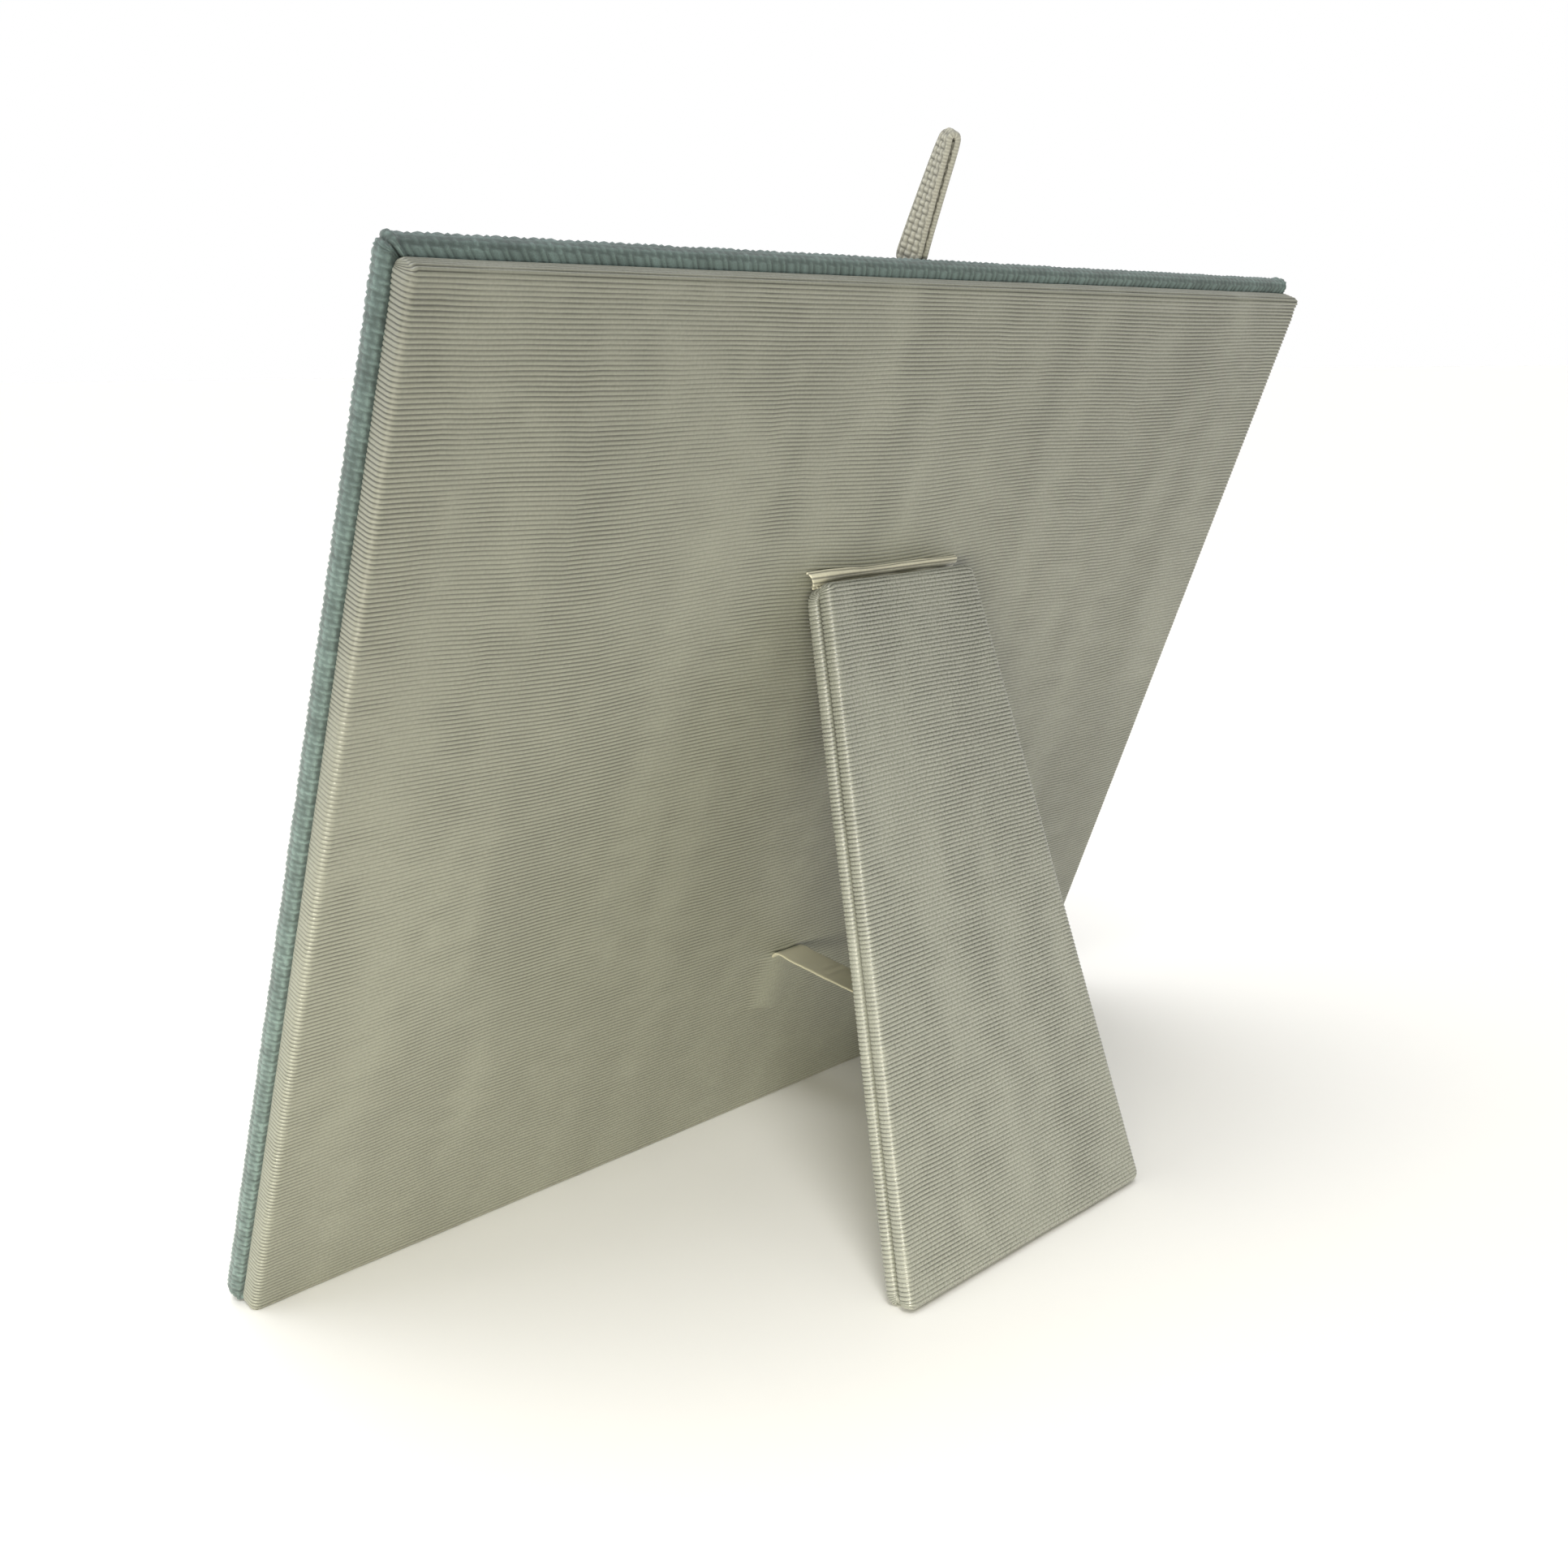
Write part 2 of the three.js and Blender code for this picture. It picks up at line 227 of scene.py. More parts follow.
class Wrap:
    """A cloth's way round a board's edge, from the corner radius inside the face to its end."""

    def __init__(self, thick, edge, corner, turn_in):
        """edge and corner are the radii of the board's edges and of its outline's corners."""
        self.thick = thick
        self.edge = edge
        self.corner = corner
        bend = edge * math.pi / 2
        lengths = [corner - edge, bend, thick - 2 * edge, bend, turn_in - edge]
        self.ends = np.cumsum([0, *lengths])
        self.length = self.ends[-1]
        self.seen = self.ends[4]

    def at(self, way):
        """Inset from the outline, depth below the face, and the normal outward and off the face."""
        edge = self.edge
        first = (way - self.ends[1]) / edge
        second = (way - self.ends[3]) / edge
        stretch = np.searchsorted(self.ends[1:-1], way, side="right")
        one = np.ones_like(way)
        zero = np.zeros_like(way)
        inset = [
            self.corner - way,
            edge * (1 - np.sin(first)),
            zero,
            edge * (1 - np.cos(second)),
            edge + way - self.ends[4],
        ]
        depth = [
            zero,
            edge * (1 - np.cos(first)),
            edge + way - self.ends[2],
            self.thick - edge + edge * np.sin(second),
            self.thick * one,
        ]
        outward = [zero, np.sin(first), one, np.cos(second), zero]
        lift = [one, np.cos(first), zero, -np.sin(second), -one]
        return [np.choose(stretch, values) for values in (inset, depth, outward, lift)]

    def steps(self, spacing=None):
        """Places along the way: at an even spacing as far as it shows, or a few on each bend."""
        if spacing:
            count = int(self.seen / spacing)
            shown = spacing * np.arange(1, count + 1)
        else:
            bends = [
                np.linspace(self.ends[k], self.ends[k + 1], EDGE_STEPS + 1)[1:] for k in (1, 3)
            ]
            shown = np.concatenate([self.ends[1:2], bends[0], self.ends[3:4], bends[1]])
        hidden = np.linspace(shown[-1], self.length, 3)[1:]
        return np.concatenate([shown, hidden])


class Cover:
    """A cloth wrapped over a board, as a grid of points on the flat cloth (s across, t along)."""

    def __init__(self, half, low, high, wrap, across, along, edge_across=None, edge_along=None):
        self.wrap = wrap
        corner = wrap.corner
        middle = (low + high) / 2
        span = (high - low) / 2 - corner
        side = wrap.steps(edge_across)
        end = wrap.steps(edge_along)
        flat_u = np.linspace(-1, 1, across) if np.isscalar(across) else across
        flat_v = np.linspace(-1, 1, along)
        u = np.concatenate([-np.ones(len(side)), flat_u, np.ones(len(side))])
        a = np.concatenate([-side[::-1], 0 * flat_u, side])
        v = np.concatenate([-np.ones(len(end)), flat_v, np.ones(len(end))])
        b = np.concatenate([-end[::-1], 0 * flat_v, end])
        u, v = np.meshgrid(u, v)
        a, b = np.meshgrid(a, b)
        far_a = np.abs(a)
        far_b = np.abs(b)
        way = np.maximum(far_a, far_b)
        inset, depth, outward, lift = wrap.at(way)
        reach = corner - inset
        ratio = np.minimum(far_a, far_b) / np.maximum(way, 1e-12)
        turn = math.pi / 4 * ratio
        turn = np.where(far_a >= far_b, turn, math.pi / 2 - turn)
        turn = np.where(way > 0, turn, 0)
        inner = np.minimum(reach, 0)
        outer = np.maximum(reach, 0)
        side_way = np.sign(a) * np.cos(turn)
        end_way = np.sign(b) * np.sin(turn)
        z = middle + v * (span + inner) + outer * end_way
        x = u * (half(z) - corner + inner) + outer * side_way
        self.shape = x.shape
        self.points = np.stack([x, -depth, z], axis=-1)
        self.normals = np.stack([outward * side_way, lift, outward * end_way], axis=-1)
        self.s = u * (half(middle + v * span) - corner) + a
        self.t = middle + v * span + b
        self.middle = middle
        self.way = way
        self.turn = turn
        self.v = v
        self.hollow = np.zeros(x.shape)
        self.size = (np.ptp(self.s), np.ptp(self.t))

    def slide(self, amount):
        """Moves the points along the cloth, by less and less towards its two ends."""
        self.points[..., 2] += amount * (1 - self.v ** 8)

    def raise_by(self, height):
        self.points += self.normals * height[..., None]

    def build(self, name, board, back, face, material, keep=None):
        """back is the y of the cloth's outer face, and face is 1 where it looks along +y, else -1."""
        points, faces, cloth, hollow = self.patch(back, face, keep)
        if keep is not None:
            middle = plain_middle(keep)
            faces = [*faces, middle if face > 0 else middle[::-1]]
        return make_mesh(name, board.world(points), faces, cloth, hollow, material)

    def patch(self, back, face, keep=None):
        points = self.points * (1, face, 1) + (0, back, 0)
        cloth = np.stack([self.s, self.t], axis=-1)
        return patch(points, self.normals * (1, face, 1), cloth, self.hollow, keep)


class Turned(Cover):
    """The cloth that goes on from a line on a board's face, over a window's edge and in behind."""

    def __init__(self, line, toward, middle, half, wrap, spacing):
        """line holds (s, t) points, toward is the way to the window's middle, half its half size."""
        way = np.concatenate([[0], wrap.steps(spacing)])[:, None]
        inset, depth, outward, lift = wrap.at(way)
        toward = np.array(toward, float)
        along = 1 - np.abs(toward)
        reach = half @ along
        shrink = ((reach + inset) / (reach + wrap.edge))[..., None]
        place = middle + (line - middle) * (1 - along + along * shrink)
        place = place + toward * (wrap.edge - inset)[..., None]
        level = 0 * place[..., 0]
        self.wrap = wrap
        self.middle = middle[1]
        self.points = np.stack([place[..., 0], level - depth, place[..., 1]], axis=-1)
        self.normals = np.stack(
            [level + toward[0] * outward, level + lift, level + toward[1] * outward], axis=-1
        )
        self.s = line[:, 0] + toward[0] * way
        self.t = line[:, 1] + toward[1] * way
        self.way = level + way
        self.hollow = level
        end_gap = reach + inset - np.abs((place - middle) @ along)
        self.fade = smooth(end_gap / (1.5 * MM))


def rib_rows(low, high, wrap):
    """How many rows give four in each rib, and the spacing to carry on with round the ends."""
    length = high - low - 2 * wrap.corner
    ribs = round(length / RIB["pitch"])
    spacing = length / (ribs * len(RIB_SHAPE))
    return ribs * len(RIB_SHAPE) + 1, spacing


def rib_height(cover, spacing, seed):
    """Ribs across the cloth. The watermark crushes them in long streaks along it."""
    row = np.round((cover.t - cover.middle) / spacing).astype(int)
    wave = RIB_SHAPE[row % len(RIB_SHAPE)]
    streak = noise(cover.s, cover.t, 8 * MM, 34 * MM, seed)
    streak += 0.7 * noise(cover.s, cover.t, 2.6 * MM, 3 * MM, seed + 1)
    crushed = 0.76 + 0.24 * np.clip(streak, -1, 1)
    shown = cover.way < cover.wrap.seen
    # hollow marks the troughs between ribs, where the materials paint shade.
    cover.hollow = (1 - wave) * crushed * shown
    return RIB["height"] * (wave - 0.5) * crushed * shown


def rib_sway(cover, size, seed):
    """How far the ribs wander up and down along their length."""
    slow = noise(cover.s, cover.t, 34 * MM, 60 * MM, seed)
    quick = noise(cover.s, cover.t, 5 * MM, 9 * MM, seed + 1)
    return size * (slow + 0.16 * quick)


def straight(width):
    """The half width at any height of a board with upright sides."""
    return lambda z: width / 2 + 0 * z


# ---------------------------------------------------------------- materials

def shader(name, colour, roughness, **sockets):
    """A material with its Principled shader, and a function that adds a linked node."""
    material = bpy.data.materials.new(name)
    material.use_nodes = True
    tree = material.node_tree
    principled = tree.nodes["Principled BSDF"]
    principled.inputs["Base Color"].default_value = (*colour, 1)
    principled.inputs["Roughness"].default_value = roughness
    for socket, value in sockets.items():
        principled.inputs[socket.replace("_", " ")].default_value = value

    def add(kind, settings=None, **inputs):
        node = tree.nodes.new(kind)
        for key, value in (settings or {}).items():
            setattr(node, key, value)
        for key, value in inputs.items():
            target = node.inputs[int(key[1:])] if key[0] == "_" else node.inputs[key]
            if isinstance(value, bpy.types.NodeSocket):
                tree.links.new(value, target)
            else:
                target.default_value = value
        return node

    def link(output, socket):
        tree.links.new(output, principled.inputs[socket])

    return material, add, link


def cloth_place(add, scale):
    """The place on the flat cloth in millimetres, times a scale in each direction."""
    place = add("ShaderNodeUVMap", {"uv_map": "cloth"}).outputs["UV"]
    node = add("ShaderNodeMapping", _0=place)
    node.inputs["Scale"].default_value = (*scale, 1)
    return node.outputs["Vector"]


def own_place(add):
    """The place in the piece's own space, which is the row frame at rest, in metres."""
    return add("ShaderNodeTexCoord").outputs["Object"]


def ramp(add, value, low, high, low_out, high_out):
    """Carries low to low_out and high to high_out, in a straight line, and clamps past them."""
    node = add("ShaderNodeMapRange", Value=value)
    for socket, number in zip(("From Min", "From Max", "To Min", "To Max"), (low, high, low_out, high_out)):
        node.inputs[socket].default_value = number
    return node.outputs["Result"]


def tint(add, value, dark, light):
    node = add("ShaderNodeMix", {"data_type": "RGBA"}, _0=value)
    node.inputs[6].default_value = (*dark, 1)
    node.inputs[7].default_value = (*light, 1)
    return node.outputs[2]


def multiply(add, one, two):
    node = add("ShaderNodeMath", {"operation": "MULTIPLY"}, _0=one, _1=two)
    return node.outputs[0]


def bump(add, link, height, strength, distance):
    node = add("ShaderNodeBump", Height=height)
    node.inputs["Strength"].default_value = strength
    node.inputs["Distance"].default_value = distance
    link(node.outputs["Normal"], "Normal")


# One ivory moiré covers liner, mat, leg and hinge; these copies carry painted light: darker than the real
# ivory for the shade on the liner and mat, and on the leg a little lighter and cooler for the brighter,
# bluer light it gets.
SHADED_IVORY = (0.235, 0.24, 0.19)
LEG_LIT_IVORY = (0.255, 0.262, 0.222)
SAGE = (0.153, 0.214, 0.2)


def scaled(colour, factor):
    return tuple(c * factor for c in colour)


def hollows(add):
    """0 on top of a thread or rib and 1 between two. The materials darken by it: painted shade in the
    hollows.
    """
    return add("ShaderNodeAttribute", {"attribute_name": "hollow"}).outputs["Fac"]


def moire(name, colour, gloss=0.42):
    """Ribbed silk: a watermark of long streaks, painted shade between ribs and a painted highlight on their
    crests, fine threads along each rib.
    """
    material, add, link = shader(name, colour, gloss, Specular_IOR_Level=0.8, Sheen_Weight=0.1)
    streaks = add(
        "ShaderNodeTexNoise", Vector=cloth_place(add, (0.1, 0.022)), Scale=1, Detail=2, Distortion=0.4
    ).outputs["Fac"]
    fine = add(
        "ShaderNodeTexNoise", Vector=cloth_place(add, (2.2, 1.4)), Scale=1, Detail=2
    ).outputs["Fac"]
    tone = multiply(
        add, ramp(add, streaks, 0.3, 0.7, 0.92, 1.0), ramp(add, fine, 0.25, 0.75, 0.86, 1.0)
    )
    # Painted shade: darker in the troughs between ribs, by the hollow attribute.
    shade = multiply(add, tone, ramp(add, hollows(add), 0.15, 0.75, 1.0, 0.3))
    # The tint's light end, above the cloth's own colour, is a painted highlight on the rib crests.
    link(tint(add, shade, scaled(colour, 0.1), scaled(colour, 1.2)), "Base Color")
    link(ramp(add, fine, 0.3, 0.7, gloss + 0.12, gloss - 0.12), "Roughness")
    bump(add, link, fine, 0.4, 0.08 * MM)
    return material


def linen(name, colour):
    """Plain-woven linen: threads over and under, each of its own tone, with slubs along them, and painted
    shade between the threads and in the mitre creases.
    """
    material, add, link = shader(name, colour, 0.85, Sheen_Weight=0.25, Sheen_Roughness=0.5)
    per_thread = (MM / THREAD["across"], MM / THREAD["along"])
    crossing = add("ShaderNodeTexChecker", Vector=cloth_place(add, per_thread), Scale=1).outputs["Fac"]
    warp = add(
        "ShaderNodeTexNoise", Vector=cloth_place(add, (0.9, 0.05)), Scale=1, Detail=2
    ).outputs["Fac"]
    weft = add(
        "ShaderNodeTexNoise", Vector=cloth_place(add, (0.05, 0.9)), Scale=1, Detail=2
    ).outputs["Fac"]
    thread = add("ShaderNodeMix", {"data_type": "FLOAT"}, _0=crossing, _2=warp, _3=weft).outputs[0]
    fibre = add(
        "ShaderNodeTexNoise", Vector=cloth_place(add, (5, 5)), Scale=1, Detail=3
    ).outputs["Fac"]
    shade = multiply(add, ramp(add, thread, 0.3, 0.7, 0.65, 1.0), ramp(add, fibre, 0.3, 0.7, 0.75, 1.0))
    # Painted shade between the threads and in the mitre creases, by the hollow attribute.
    shade = multiply(add, shade, ramp(add, hollows(add), 0.25, 1.0, 1.0, 0.1))
    link(tint(add, shade, scaled(colour, 0.2), scaled(colour, 1.35)), "Base Color")
    bump(add, link, fibre, 0.5, 0.12 * MM)
    return material


def satin(name, colour):
    """Narrow satin ribbon: smooth, glossy along its length, with faint lengthwise threads."""
    material, add, link = shader(name, colour, 0.36, Sheen_Weight=0.1)
    threads = add(
        "ShaderNodeTexNoise", Vector=cloth_place(add, (6, 0.25)), Scale=1, Detail=2
    ).outputs["Fac"]
    link(tint(add, threads, scaled(colour, 0.85), scaled(colour, 1.08)), "Base Color")
    link(ramp(add, threads, 0.3, 0.7, 0.3, 0.45), "Roughness")
    bump(add, link, threads, 0.25, 0.05 * MM)
    return material


def tape_cloth(name, colour):
    """Matt woven cotton tape, with painted shade between its threads."""
    material, add, link = shader(name, colour, 0.9, Sheen_Weight=0.2)
    fibre = add(
        "ShaderNodeTexNoise", Vector=cloth_place(add, (4, 4)), Scale=1, Detail=3
    ).outputs["Fac"]
    # Painted shade between the tape's threads, by the hollow attribute.
    shade = multiply(add, ramp(add, fibre, 0.3, 0.7, 0.75, 1.0), ramp(add, hollows(add), 0.2, 1.0, 1.0, 0.2))
    link(tint(add, shade, scaled(colour, 0.25), scaled(colour, 1.12)), "Base Color")
    bump(add, link, fibre, 0.5, 0.1 * MM)
    return material


def greyboard(name, colour):
    """Pressed grey pulp board: mottled, with dark and pale flecks."""
    material, add, link = shader(name, colour, 0.93)
    place = own_place(add)
    pulp = add("ShaderNodeTexNoise", Vector=place, Scale=900, Detail=4).outputs["Fac"]
    flecks = add("ShaderNodeTexVoronoi", Vector=place, Scale=700).outputs["Distance"]
    shade = multiply(add, ramp(add, pulp, 0.3, 0.7, 0.5, 1.0), ramp(add, flecks, 0.05, 0.25, 0.6, 1.0))
    link(tint(add, shade, scaled(colour, 0.6), scaled(colour, 1.15)), "Base Color")
    bump(add, link, pulp, 0.4, 0.2 * MM)
    return material


def clear_plastic(name):
    """The thin clear pane, with a trace of haze. Lamps shine through it."""
    material, add, link = shader(
        name, (0.97, 0.98, 0.98), 0.04, IOR=1.49, Transmission_Weight=1.0
    )
    haze = add("ShaderNodeTexNoise", Vector=own_place(add), Scale=60, Detail=2).outputs["Fac"]
    link(ramp(add, haze, 0.4, 0.7, 0.0, 0.03), "Roughness")
    tree = material.node_tree
    path = add("ShaderNodeLightPath").outputs
    passing = add(
        "ShaderNodeMath", {"operation": "MAXIMUM"}, _0=path["Is Shadow Ray"], _1=path["Is Diffuse Ray"]
    ).outputs[0]
    through = add("ShaderNodeBsdfTransparent").outputs["BSDF"]
    glass = tree.nodes["Principled BSDF"].outputs["BSDF"]
    either = add("ShaderNodeMixShader")
    for output, socket in zip((passing, glass, through), either.inputs):
        tree.links.new(output, socket)
    tree.links.new(either.outputs["Shader"], tree.nodes["Material Output"].inputs["Surface"])
    return material


def picture(name):
    """A generic printed landscape with a plain white border: sky, a far hill, a near hill and field."""
    material, add, link = shader(name, (0.8, 0.8, 0.78), 0.3)
    low, high = FRAME.box("photo_print")
    place = own_place(add)
    up = FRAME.axes[2]
    base = FRAME.world((0, 0, low[2]))
    height_node = add("ShaderNodeVectorMath", {"operation": "DOT_PRODUCT"}, _0=place)
    height_node.inputs[1].default_value = tuple(up)
    rise = ramp(
        add, height_node.outputs["Value"], base @ up, base @ up + high[2] - low[2], 0, 1
    )
    side = add("ShaderNodeSeparateXYZ", Vector=place).outputs["X"]
    hills = add("ShaderNodeTexNoise", {"noise_dimensions": "1D"}, W=side, Scale=26, Detail=3).outputs["Fac"]
    near = add("ShaderNodeTexNoise", {"noise_dimensions": "1D"}, W=side, Scale=14, Detail=2).outputs["Fac"]
    grain = add("ShaderNodeTexNoise", Vector=place, Scale=260, Detail=5).outputs["Fac"]

    def below(line):
        difference = add("ShaderNodeMath", {"operation": "SUBTRACT"}, _0=line, _1=rise).outputs[0]
        return ramp(add, difference, -0.004, 0.004, 0, 1)

    def over(under, colour, mask):
        node = add("ShaderNodeMix", {"data_type": "RGBA"}, _0=mask, _6=under)
        node.inputs[7].default_value = (*colour, 1)
        return node.outputs[2]

    sky = tint(add, ramp(add, rise, 0.45, 1.0, 0, 1), (0.78, 0.74, 0.66), (0.34, 0.47, 0.58))
    far_line = ramp(add, hills, 0.25, 0.75, 0.42, 0.66)
    near_line = ramp(add, near, 0.25, 0.75, 0.18, 0.42)
    scene = over(sky, (0.28, 0.36, 0.38), below(far_line))
    scene = over(scene, (0.15, 0.22, 0.12), below(near_line))
    speckle = add("ShaderNodeMix", {"data_type": "RGBA", "blend_type": "MULTIPLY"}, _6=scene, _7=grain)
    speckle.inputs[0].default_value = 0.5
    half = (high[0] - low[0]) / 2
    border = 5 * MM
    from_side = add("ShaderNodeMath", {"operation": "ABSOLUTE"}, _0=side).outputs[0]
    in_side = ramp(add, from_side, half - border, half - border + 0.1 * MM, 1, 0)
    share = border / (high[2] - low[2])
    blur = 0.002
    in_low = ramp(add, rise, share, share + blur, 0, 1)
    in_high = ramp(add, rise, 1 - share - blur, 1 - share, 1, 0)
    inside = multiply(add, multiply(add, in_side, in_low), in_high)
    white = add("ShaderNodeMix", {"data_type": "RGBA"}, _0=inside, _7=speckle.outputs[2])
    white.inputs[6].default_value = (0.82, 0.81, 0.78, 1)
    link(white.outputs[2], "Base Color")
    bump(add, link, grain, 0.05, 0.02 * MM)
    return material


MOIRE = moire("moire", SHADED_IVORY)
LEG_MOIRE = moire("leg_moire", LEG_LIT_IVORY, 0.3)
LINEN = linen("linen", SAGE)
RIBBON = satin("ribbon", (0.50, 0.48, 0.36))
# The hinge strip is the same ivory moiré in a far lighter copy: painted light on a strip that lies in shade.
HINGE_LIT_MOIRE = moire("hinge_cloth", (0.62, 0.6, 0.47))
TAPE_CLOTH = tape_cloth("tape", (0.46, 0.45, 0.375))
GREYBOARD = greyboard("greyboard", (0.32, 0.30, 0.26))
PANE = clear_plastic("pane")
PICTURE = picture("picture")


# ---------------------------------------------------------------- pieces

def dress(nodes, body, piece):
    """The piece rides on a body and stands for the CAD nodes."""
    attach(piece, body)
    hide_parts(*nodes)
    return piece


def mat_cover():
    """The ribbed cloth of the window mat, turned in round its outline and round the window."""
    low, high = FRAME.box("mat_cover")
    print_low, print_high = FRAME.box("photo_print")
    thick = high[1] - low[1]
    wrap = Wrap(thick, **MAT)
    rows, spacing = rib_rows(low[2], high[2], wrap)
    half = (high[0] - low[0]) / 2
    opening = (print_high[0] - print_low[0]) / 2 - WINDOW_LAP
    start = opening + MAT["edge"]
    window = np.linspace(-start, start, 41)
    border = np.linspace(start, half - wrap.corner, 8)[1:]
    across = np.concatenate([-border[::-1], window, border]) / (half - wrap.corner)
    cover = Cover(straight(2 * half), low[2], high[2], wrap, across, rows, None, spacing)
    first = len(cover.s[0]) // 2 - len(window) // 2
    columns = slice(first, first + len(window))
    tall = (print_high[2] - print_low[2]) / 2 - WINDOW_LAP + MAT["edge"]
    inside_t = np.flatnonzero(np.abs(cover.t[:, 0] - cover.middle) <= tall)
    lines = slice(inside_t[0], inside_t[-1] + 1)
    cover.raise_by(rib_height(cover, spacing, 51) * (cover.way < wrap.seen))
    tall = cover.t[lines.stop - 1, 0] - cover.middle
    clear = np.maximum(np.abs(cover.s) - start, np.abs(cover.t - cover.middle) - tall)
    cover.slide(rib_sway(cover, 0.6 * MM, 53) * smooth((clear - MM) / (9 * MM)))
    keep = np.ones(cover.shape, bool)
    keep[lines.start + 1 : lines.stop - 1, columns.start + 1 : columns.stop - 1] = False
    parts = [cover.patch(low[1], -1, keep)]
    middle = np.array((0, cover.middle))
    hole = np.array((opening, tall - MAT["edge"]))
    place = np.stack([cover.s, cover.t], axis=-1)
    edge_wrap = Wrap(thick, MAT["edge"], MAT["edge"], MAT["turn_in"])
    for line, toward in (
        (place[lines.stop - 1, columns], (0, -1)),
        (place[lines.start, columns], (0, 1)),
        (place[lines, columns.start], (1, 0)),
        (place[lines, columns.stop - 1], (-1, 0)),
    ):
        edge = Turned(line, toward, middle, hole, edge_wrap, spacing if toward[1] else None)
        edge.raise_by(rib_height(edge, spacing, 51) * edge.fade)
        parts.append(edge.patch(low[1], -1))
    counts = np.cumsum([0, *(len(part[0]) for part in parts)])
    faces = np.concatenate([part[1] + count for part, count in zip(parts, counts)])
    points, cloth, hollow = (np.concatenate([part[k] for part in parts]) for k in (0, 2, 3))
    piece = make_mesh("mat_cloth", FRAME.world(points), faces, cloth, hollow, MOIRE)
    return dress(["mat_cover"], "frame", piece)


def liner_cover():
    """The liner's ribbed cloth, with creases along its top fold and one top corner pressed in."""
    low, high = FRAME.box("liner_cover")
    wrap = Wrap(high[1] - low[1], **LINER)
    rows, spacing = rib_rows(low[2], high[2], wrap)
    cover = Cover(straight(high[0] - low[0]), low[2], high[2], wrap, 61, rows, None, spacing)
    top = high[2] - cover.t
    side = high[0] - np.abs(cover.s)
    tail = tail_relief(cover)
    height = rib_height(cover, spacing, 11) * (1 - 0.6 * tail)
    # Less painted shade between the ribs where the ribbon's tail flattens them.
    cover.hollow *= 1 - 0.8 * tail
    creases = noise(cover.s, cover.t, 55 * MM, 1.5 * MM, 21)
    near_top = smooth(1 - np.abs(top - 2 * MM) / (4 * MM))
    height += 0.16 * MM * creases * near_top
    swell = noise(cover.s, cover.t, 45 * MM, 45 * MM, 22)
    height += 0.1 * MM * swell * smooth(side / (12 * MM))
    inset = 3.5 * MM
    dent = np.hypot(cover.s - high[0] + inset, top - inset)
    height -= 0.35 * MM * smooth(1 - dent / (3.2 * MM))
    ribbon_height = 0.65 * MM
    height += ribbon_height * tail
    cover.raise_by(height * (cover.way < wrap.seen))
    cover.slide(rib_sway(cover, 0.9 * MM, 31))
    piece = cover.build("liner_cloth", FRAME, high[1], 1, MOIRE)
    return dress(["liner_cover"], "frame", piece)


def tail_relief(cover):
    """The ribbon's glued end shows through the cloth as a soft-edged raised strip."""
    low, high = FRAME.box("stay_liner_end")
    soft = 0.9 * MM
    corner = 2.6 * MM
    middle = (low + high) / 2
    beyond_x = np.abs(cover.s - middle[0]) - (high[0] - middle[0] - corner)
    beyond_z = np.abs(cover.t - middle[2]) - (high[2] - middle[2] - corner)
    outside = np.hypot(np.maximum(beyond_x, 0), np.maximum(beyond_z, 0))
    inside = np.minimum(np.maximum(beyond_x, beyond_z), 0)
    return smooth((corner - outside - inside) / soft + 0.5)


def woven(place):
    """Plain weave, from 0 to 1: each crossing is a bump, long along the thread that lies on top."""
    cell = [np.round(p) for p in place]
    off = [p - c for p, c in zip(place, cell)]
    odd = (cell[0] + cell[1]) % 2
    narrow = np.where(odd > 0, off[0], off[1])
    long = np.where(odd > 0, off[1], off[0])
    return np.cos(math.pi * narrow) * (0.6 + 0.4 * np.cos(math.pi * long))


def weave_height(cover):
    """Linen's threads with their slubs, and its mitred fold at each corner."""
    bumps = woven([cover.s / THREAD["across"], cover.t / THREAD["along"]])
    slubs = 1 + 0.3 * noise(cover.s, cover.t, 3 * MM, 1.3 * MM, 41)
    threads = bumps * slubs
    corner = (cover.turn > 0) & (cover.turn < math.pi / 2)
    past_mitre = cover.turn - math.pi / 4
    crease = np.exp(-((past_mitre / 0.2) ** 2)) * corner
    fold = np.exp(-(((past_mitre - 0.4) / 0.25) ** 2)) * corner
    # hollow marks where the linen's material paints shade: between the threads and along the mitre crease.
    cover.hollow = np.clip(np.maximum(1.15 - threads, crease), 0, 1)
    tallest = 0.45  # low enough for the insert to slide past
    return THREAD["height"] * np.minimum(threads - 0.6, tallest) + 0.45 * MM * (fold - crease)


def backing_cover():
    """The backing's linen. Its threads are modelled as far in as the mat leaves it in sight."""
    low, high = FRAME.box("backing_cover")
    wrap = Wrap(high[1] - low[1], **BACKING)
    step = [THREAD[way] / 3 for way in ("across", "along")]
    across = round((high[0] - low[0] - 2 * wrap.corner) / step[0]) + 1
    along = round((high[2] - low[2] - 2 * wrap.corner) / step[1]) + 1
    cover = Cover(straight(high[0] - low[0]), low[2], high[2], wrap, across, along, *step)
    border = 6.2 * MM
    # The plain middle gets an even level of the painted shade, near the threads' mean.
    plain_painted_shade = 0.3
    middle = (low[2] + high[2]) / 2
    past_edge = np.maximum(np.abs(cover.s) - high[0], np.abs(cover.t - middle) - (high[2] - middle))
    height = weave_height(cover) * (cover.way < wrap.seen + 2.5 * MM)
    level = past_edge < MM - border
    cover.hollow = np.where(level, plain_painted_shade, cover.hollow)
    cover.raise_by(np.where(level, 0, height))
    piece = cover.build("backing_cloth", FRAME, low[1], -1, LINEN, keep=past_edge > -border)
    return dress(["backing_cover"], "frame", piece)


